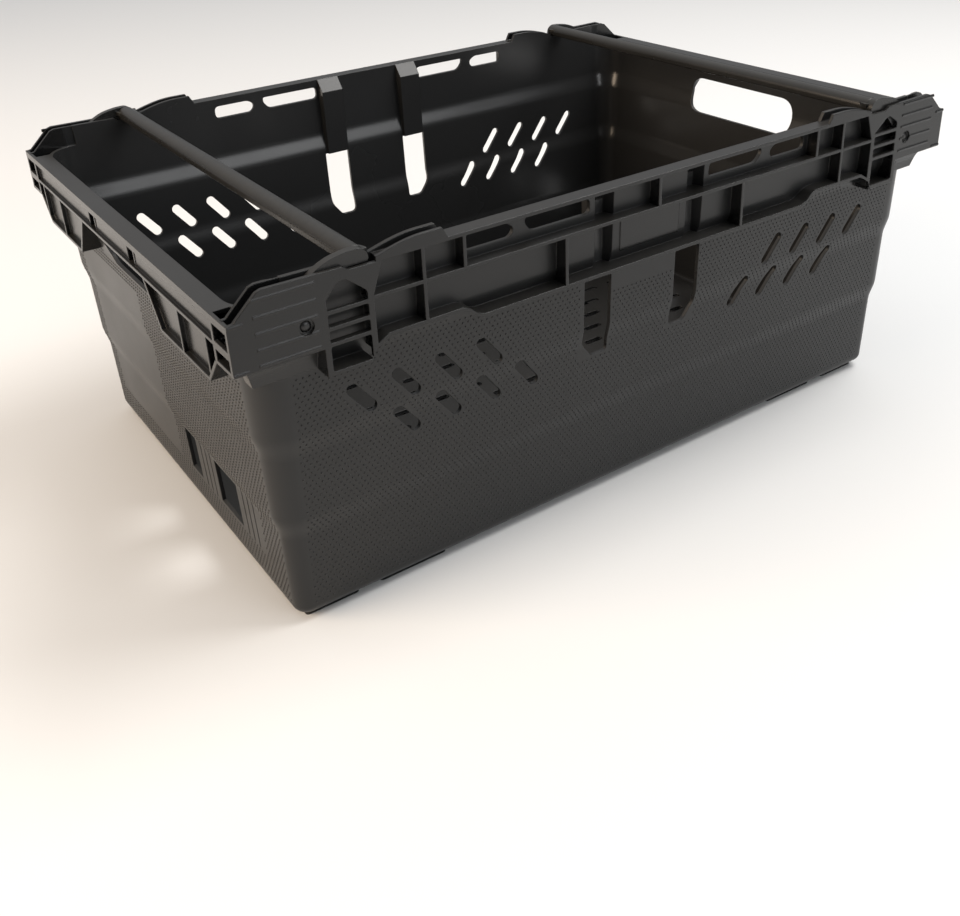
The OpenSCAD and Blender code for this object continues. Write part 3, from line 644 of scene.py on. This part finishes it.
def long_wall_has(x, z):
    """True where the long walls have pips: below the ribs, clear of the slots and the middle."""
    a = abs(x)
    top = -38.5 if 158 < a < 204 else -51 if a > 211 else -46
    if z > top or near_slant(x, z):
        return False
    return a >= 54 or z <= -113 or (a <= 27 and z <= -66)


def left_end_has(y, z):
    """True where the left end has pips: below the ledge, clear of the windows and the plain field."""
    if z > (-54 if abs(y) < 80 else -51):
        return False
    if -134 < y < -3 and -200 < z < -160:
        return False
    return not (15 < y < 150 and -200 < z < -62)


def build_pips(name, reach, has, place):
    """Small flat-topped pyramids in staggered rows, standing in the wall's surface."""
    verts, faces = [], []
    corners = ((1, 0), (0, 1), (-1, 0), (0, -1))
    for row in range(int((PIP_HIGH - PIP_LOW) / PIP_ROW)):
        z = PIP_LOW + PIP_ROW * row
        start = -reach + (row % 2) * PIP_PITCH / 2
        for i in range(int((reach - start) / PIP_PITCH) + 1):
            u = start + PIP_PITCH * i
            if not has(u, z):
                continue
            n = len(verts)
            verts += [Vector(place(u + r * du, inset(z + r * dz) - lift, at(z + r * dz))) * MM
                      for r, lift in PIP_SHAPE for du, dz in corners]
            faces += [(n + 3, n + 2, n + 1, n), (n + 4, n + 5, n + 6, n + 7)]
            faces += [(n + k, n + (k + 1) % 4, n + 4 + (k + 1) % 4, n + 4 + k) for k in range(4)]
    mesh = bpy.data.meshes.new(name)
    mesh.from_pydata(verts, [], faces)
    for poly in mesh.polygons:
        poly.use_smooth = True
    obj = bpy.data.objects.new(name, mesh)
    scene.collection.objects.link(obj)
    return obj


# ---------------------------------------------------------------- swinging arms
def build_bar(name):
    """Crossbar with a rounded top and a narrow flat underside."""
    flank, parts = 3.4, 18
    half, height = BAR_WIDTH / 2, BAR_TOP - BAR_BOTTOM
    turns = [math.pi * i / parts for i in range(parts + 1)]
    outline = [(-half + 1, 0), (half - 1, 0), (half - 0.3, 0.3), (half, 1)]
    outline += [(half * math.cos(a), flank + (height - flank) * math.sin(a)) for a in turns]
    outline += [(-half, 1), (-half + 0.3, 0.3)]
    bar = ledge_prism("y", [(u - BAR_X, v + BAR_BOTTOM) for u, v in outline], -BAR_HALF, BAR_HALF)
    bar.name = name
    return bar


LEVER_OUT, LEVER_IN = -low("lever_left_front").y, BAR_HALF
BOSS_R = 8.2
ARM = [(-7.3, 3.7), (-6.8, 8), (-5.5, 12), (-3.6, 16.5), (-1, 20.5), (2.2, 24), (6, 27), (10, 29.5),
       (14, 31.5), (18, 33), (22, 34), (29.5, 35.1), (36, 35.3), (38.3, 34.6), (40, 33.5), (41.4, 32),
       (42.2, 30), (42.4, 28), (41.4, 26.3), (29.5, 26.3), (28.4, 25), (27.5, 23.5), (25, 21.4), (22, 19),
       (18, 15), (14, 10), (7.9, 2)]


def build_lever(name):
    """Banana shaped arm from the pivot boss over the end of the bar, at the front of the left arm."""
    half, reach = BAR_WIDTH / 2, -LEVER_IN
    parts = [
        ledge_prism("y", circle(-PIVOT_X, PIVOT_Z, BOSS_R, 48), -LEVER_OUT, reach),
        ledge_prism("y", [(-PIVOT_X + u, PIVOT_Z + v) for u, v in ARM], -LEVER_OUT, reach),
    ]
    # flares where the lever meets the flanks of the bar
    flare = [(half - 2, -1), (half + 1.4, -1), (half + 1.4, 1), (half + 0.6, 4), (half - 2, 9)]
    for s in (-1, 1):
        plan = [(s * u - BAR_X, reach + v) for u, v in flare]
        parts.append(prism("z", plan, at(BAR_BOTTOM + 3.3), at(BAR_BOTTOM + 6.2)))
    body = union(name, parts)
    pin_hole = ledge_prism("y", circle(-PIVOT_X, PIVOT_Z, PIN_R - 0.05, 32), -HALF_Y, reach + 2)
    return combine(body, [pin_hole], "DIFFERENCE")


def build_pins(name):
    """Pair of pins with domed heads."""
    start = high("pivot_pins_left").y
    length = start - HALF_Y + PIN_END
    profile = [(0.9, 0.05), (1.8, 0.25), (PIN_R - 0.7, 0.7), (PIN_R - 0.2, 1.1), (PIN_R, 1.6),
               (PIN_R, length)]
    bm = bmesh.new()
    for side in (-1, 1):
        loops = [[(x, side * (start - d), z) for x, z in circle(-PIVOT_X, at(PIVOT_Z), r, 32)]
                 for r, d in profile]
        verts = [[bm.verts.new(Vector(p) * MM) for p in loop] for loop in loops]
        tips = [bm.verts.new(Vector((-PIVOT_X, side * (start - d), at(PIVOT_Z))) * MM) for d in (0, length)]
        for i in range(len(verts[0])):
            j = (i + 1) % len(verts[0])
            bm.faces.new((tips[0], verts[0][i], verts[0][j]))
            bm.faces.new((verts[-1][i], verts[-1][j], tips[1]))
            for a, b in zip(verts, verts[1:]):
                bm.faces.new((a[i], a[j], b[j], b[i]))
    return from_bmesh(name, bm)


# ---------------------------------------------------------------- materials
def map_range(tree, value, from_min, from_max, to_min, to_max):
    node = tree.nodes.new("ShaderNodeMapRange")
    tree.links.new(value, node.inputs["Value"])
    node.inputs["From Min"].default_value = from_min
    node.inputs["From Max"].default_value = from_max
    node.inputs["To Min"].default_value = to_min
    node.inputs["To Max"].default_value = to_max
    return node.outputs["Result"]


def math_node(tree, operation, a, b, clamp=False):
    node = tree.nodes.new("ShaderNodeMath")
    node.operation = operation
    node.use_clamp = clamp
    tree.links.new(a, node.inputs[0])
    if isinstance(b, float):
        node.inputs[1].default_value = b
    else:
        tree.links.new(b, node.inputs[1])
    return node.outputs[0]


def grain(name, colour, dust, rough, coarse, radius=0.6):
    """Moulded black plastic: rounded edges, uneven gloss, fine grain, dust on faces that look up."""
    mat = bpy.data.materials.new(name)
    mat.use_nodes = True
    tree = mat.node_tree
    nodes, links = tree.nodes, tree.links
    shader = nodes["Principled BSDF"]
    shader.inputs["IOR"].default_value = 1.44
    coords = nodes.new("ShaderNodeTexCoord")

    def noise(scale, detail):
        node = nodes.new("ShaderNodeTexNoise")
        node.inputs["Scale"].default_value = scale
        node.inputs["Detail"].default_value = detail
        node.inputs["Roughness"].default_value = 0.55
        links.new(coords.outputs["Object"], node.inputs["Vector"])
        return node.outputs["Fac"]

    # dust, in drifts and specks
    geometry = nodes.new("ShaderNodeNewGeometry")
    split = nodes.new("ShaderNodeSeparateXYZ")
    links.new(geometry.outputs["Normal"], split.inputs[0])
    up = map_range(tree, split.outputs["Z"], 0.35, 0.95, 0.0, 1.0)
    drift = noise(9, 4)
    specks = map_range(tree, noise(260, 2), 0.0, 1.0, 0.4, 1.1)
    dusty = math_node(tree, "MULTIPLY", up, map_range(tree, drift, 0.0, 1.0, 0.3, 1.1))
    mix = nodes.new("ShaderNodeMix")
    mix.data_type = "RGBA"
    mix.inputs["A"].default_value = (*colour, 1)
    mix.inputs["B"].default_value = (*dust, 1)
    links.new(math_node(tree, "MULTIPLY", dusty, specks), mix.inputs["Factor"])
    links.new(mix.outputs["Result"], shader.inputs["Base Color"])
    # uneven gloss, duller under dust
    gloss = map_range(tree, drift, 0.0, 1.0, rough - 0.1, rough + 0.1)
    dull = math_node(tree, "MULTIPLY", dusty, 0.12)
    links.new(math_node(tree, "ADD", gloss, dull, clamp=True), shader.inputs["Roughness"])
    # rounded edges and fillets of the moulding, under the fine grain
    edge = nodes.new("ShaderNodeBevel")
    edge.samples = 5
    edge.inputs["Radius"].default_value = radius * MM
    bump = nodes.new("ShaderNodeBump")
    bump.inputs["Distance"].default_value = 1.0
    links.new(edge.outputs["Normal"], bump.inputs["Normal"])
    links.new(math_node(tree, "MULTIPLY", noise(1400, 2), coarse * MM), bump.inputs["Height"])
    links.new(bump.outputs["Normal"], shader.inputs["Normal"])
    return mat


BLACK = (0.0095, 0.0098, 0.0100)
DUST = (0.030, 0.028, 0.025)
ARM_DUST = (0.036, 0.034, 0.030)
outside = grain("wall_outside", BLACK, DUST, 0.36, 0.015, radius=0.9)
pip_skin = grain("wall_pips", BLACK, DUST, 0.33, 0.010, radius=0.25)
# The inside copy of the black plastic has a lighter colour than the outside: painted light, standing in for
# light bounced about inside the crate.
inside_painted_light = grain("wall_inside_painted_light", (0.0200, 0.0203, 0.0206), DUST, 0.25, 0.004)
# Ribs and plates are the same plastic as the walls, given a darker colour: painted shade that darkens their
# front faces.
ribs_painted_shade = grain("ribs", (0.0065, 0.0067, 0.0069), DUST, 0.23, 0.006, radius=0.9)
arm_skin = grain("arms", (0.0110, 0.0110, 0.0106), ARM_DUST, 0.27, 0.006)
pin_skin = grain("pins", (0.0140, 0.0140, 0.0140), DUST, 0.32, 0.008)


# ---------------------------------------------------------------- assembly
trim = core(WALL / 2, CORE_TOP + 1, "trim")     # what ribs and plates must not reach into
combine(trim, [channel_space(0.5)], "DIFFERENCE")
half = [
    build_rib_frame("rib_frame", trim),
    build_plate("plate_left", 0, trim),
    mirrored(build_plate("plate_right", 1, trim), x=True),
    build_end("end_ledge", trim),
    build_feet("foot_pads"),
]
drop([trim])
other_half = [half_turn(part, part.name + "_turned") for part in half]
moulding = tidy(union("crate_moulding", [build_wall()] + half + other_half))
shade(moulding, BEND)

bar_left = build_bar("crossbar_left")
bar_right = half_turn(bar_left, "crossbar_right")
lever_left_front = tidy(build_lever("lever_arm_left_front"))
lever_left_back = mirrored(copied(lever_left_front, "lever_arm_left_back"), y=True)
lever_right_back = half_turn(lever_left_front, "lever_arm_right_back")
lever_right_front = half_turn(lever_left_back, "lever_arm_right_front")
pins_left = build_pins("pins_left")
pins_right = half_turn(pins_left, "pins_right")
left_arm = (bar_left, lever_left_front, lever_left_back)
right_arm = (bar_right, lever_right_front, lever_right_back)
for piece in left_arm + right_arm:
    soften(piece, 0.7, 3)
for piece in (pins_left, pins_right):
    soften(piece, 0.15, 2)

pips_front = build_pips("pips_front", STRAIGHT_X - 2, long_wall_has, lambda u, d, z: (u, d - HALF_Y, z))
pips_left = build_pips("pips_left", STRAIGHT_Y - 1, left_end_has, lambda u, d, z: (d - HALF_X, u, z))
pips_left.data.flip_normals()
pips_back = half_turn(pips_front, "pips_back")
pips_right = half_turn(pips_left, "pips_right")


def wall_depth(point):
    """How deep a point, in mm, lies behind the outer face of the wall."""
    u, v = abs(point.x) - STRAIGHT_X, abs(point.y) - STRAIGHT_Y
    box_depth = CORNER - math.hypot(u, v) if u > 0 and v > 0 else CORNER - max(u, v)
    return box_depth - inset(point.z - LEDGE)


def dress(obj, body, slot, *materials):
    obj.data.materials.clear()
    for material in materials:
        obj.data.materials.append(material)
    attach(obj, body)


dress(moulding, "crate", "body_plastic", outside, inside_painted_light, ribs_painted_shade)
OUTSIDE, INSIDE_PAINTED_LIGHT, RIBS_PAINTED_SHADE = range(3)
# Faces deep inside the wall take the lighter copy of the plastic: painted light for light bounced inside the
# crate.
for poly in moulding.data.polygons:
    depth = wall_depth(poly.center / MM)
    # Ribs, plates and the underside take the darker copy of the plastic: painted shade.
    if poly.center.z / MM < BASE + 1 or depth < -0.4:
        poly.material_index = RIBS_PAINTED_SHADE
    else:
        poly.material_index = INSIDE_PAINTED_LIGHT if depth > WALL * 0.6 else OUTSIDE
for piece in (pips_front, pips_back, pips_left, pips_right):
    dress(piece, "crate", "body_plastic", pip_skin)
for piece in left_arm:
    dress(piece, "arm_left", "arm_plastic", arm_skin)
for piece in right_arm:
    dress(piece, "arm_right", "arm_plastic", arm_skin)
dress(pins_left, "arm_left", "pin_plastic", pin_skin)
dress(pins_right, "arm_right", "pin_plastic", pin_skin)

ends = ("left", "right")
sides = ("front", "back")
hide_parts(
    "floor_plate",
    *[f"{s}_{n}" for s in sides for n in (
        "panel_left", "panel_centre", "panel_right", "panel_bottom", "rim_lower", "rim_posts", "rim_crown",
        "channels", "flange_top", "rib_middle", "rib_lower", "uprights")],
    *[f"{e}_{n}" for e in ends for n in (
        "end_wall", "end_base", "end_rim", "end_ledge", "skirt_front", "skirt_back")],
    *[f"{n}_{s}_{e}" for n in ("corner", "pivot_plate", "corner_skirt") for s in sides for e in ends],
    *[f"feet_{e}" for e in ends])
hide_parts("bar_left")
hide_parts("bar_right")
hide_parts("lever_left_front")
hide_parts("lever_left_back")
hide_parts("lever_right_front")
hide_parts("lever_right_back")
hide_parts("pivot_pins_left")
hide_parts("pivot_pins_right")

# ---------------------------------------------------------------- floor, light and camera
FLOOR_HALF, FLOOR_THICK = 6000, 20
floor_plan = [(-FLOOR_HALF, -FLOOR_HALF), (FLOOR_HALF, -FLOOR_HALF), (FLOOR_HALF, FLOOR_HALF),
              (-FLOOR_HALF, FLOOR_HALF)]
floor = prism("z", floor_plan, -FLOOR_THICK, 0, "floor")
paper = bpy.data.materials.new("floor")
paper.use_nodes = True
paper_shader = paper.node_tree.nodes["Principled BSDF"]
paper_shader.inputs["Base Color"].default_value = (0.75, 0.75, 0.745, 1)
paper_shader.inputs["Roughness"].default_value = 0.8
floor.data.materials.append(paper)

world = bpy.data.worlds.new("studio")
scene.world = world
world.use_nodes = True
sky = world.node_tree
background = sky.nodes["Background"]
background.inputs["Color"].default_value = (0.95, 0.97, 1.0, 1)
direction = sky.nodes.new("ShaderNodeTexCoord").outputs["Generated"]
# soft light all round, with a dark side of the room beyond the front left corner
toward_dark = sky.nodes.new("ShaderNodeVectorMath")
toward_dark.operation = "DOT_PRODUCT"
toward_dark.inputs[1].default_value = (-0.72, -0.69, 0.0)
sky.links.new(direction, toward_dark.inputs[0])
round_about = map_range(sky, toward_dark.outputs["Value"], 0.45, 0.95, 0.62, 0.04)
# brighter overhead than along the horizon
split_sky = sky.nodes.new("ShaderNodeSeparateXYZ")
sky.links.new(direction, split_sky.inputs[0])
overhead = map_range(sky, split_sky.outputs["Z"], 0.15, 0.85, 0.45, 1.3)
sky.links.new(math_node(sky, "MULTIPLY", round_about, overhead), background.inputs["Strength"])


def area(name, place, target, size, power, colour):
    data = bpy.data.lights.new(name, "AREA")
    data.shape = "RECTANGLE"
    data.size, data.size_y = size
    data.energy = power
    data.color = colour
    light = bpy.data.objects.new(name, data)
    scene.collection.objects.link(light)
    light.location = place
    light.rotation_euler = (Vector(target) - Vector(place)).to_track_quat("-Z", "Y").to_euler()


middle = (0.0, 0.0, 0.15)
area("window", (-2.4, 0.5, 1.0), middle, (1.7, 1.5), 76, (1.0, 0.79, 0.58))
area("ceiling", (1.3, -0.5, 2.2), middle, (1.5, 1.3), 46, (1.0, 0.98, 0.95))
area("front_card", (0.75, -2.3, 0.92), middle, (1.7, 0.6), 14, (0.98, 0.99, 1.0))

# the photograph's viewpoint, solved from the crate's own corners
camera_data = bpy.data.cameras.new("camera")
camera = bpy.data.objects.new("camera", camera_data)
scene.collection.objects.link(camera)
right = Vector((0.81781, -0.57411, -0.03977))
down = Vector((-0.28568, -0.34501, -0.89407))
forward = Vector((0.49958, 0.74254, -0.44616))
turn = Matrix((right, -down, -forward)).transposed().to_4x4()
camera.matrix_world = Matrix.Translation((-0.4654, -0.6888, 0.4755)) @ turn
camera_data.sensor_fit = "HORIZONTAL"
camera_data.sensor_width = 36
camera_data.lens = 40.8
camera_data.shift_x, camera_data.shift_y = -0.0123, -0.1408
camera_data.clip_start, camera_data.clip_end = 0.05, 50
scene.camera = camera
scene.view_settings.view_transform = "Standard"
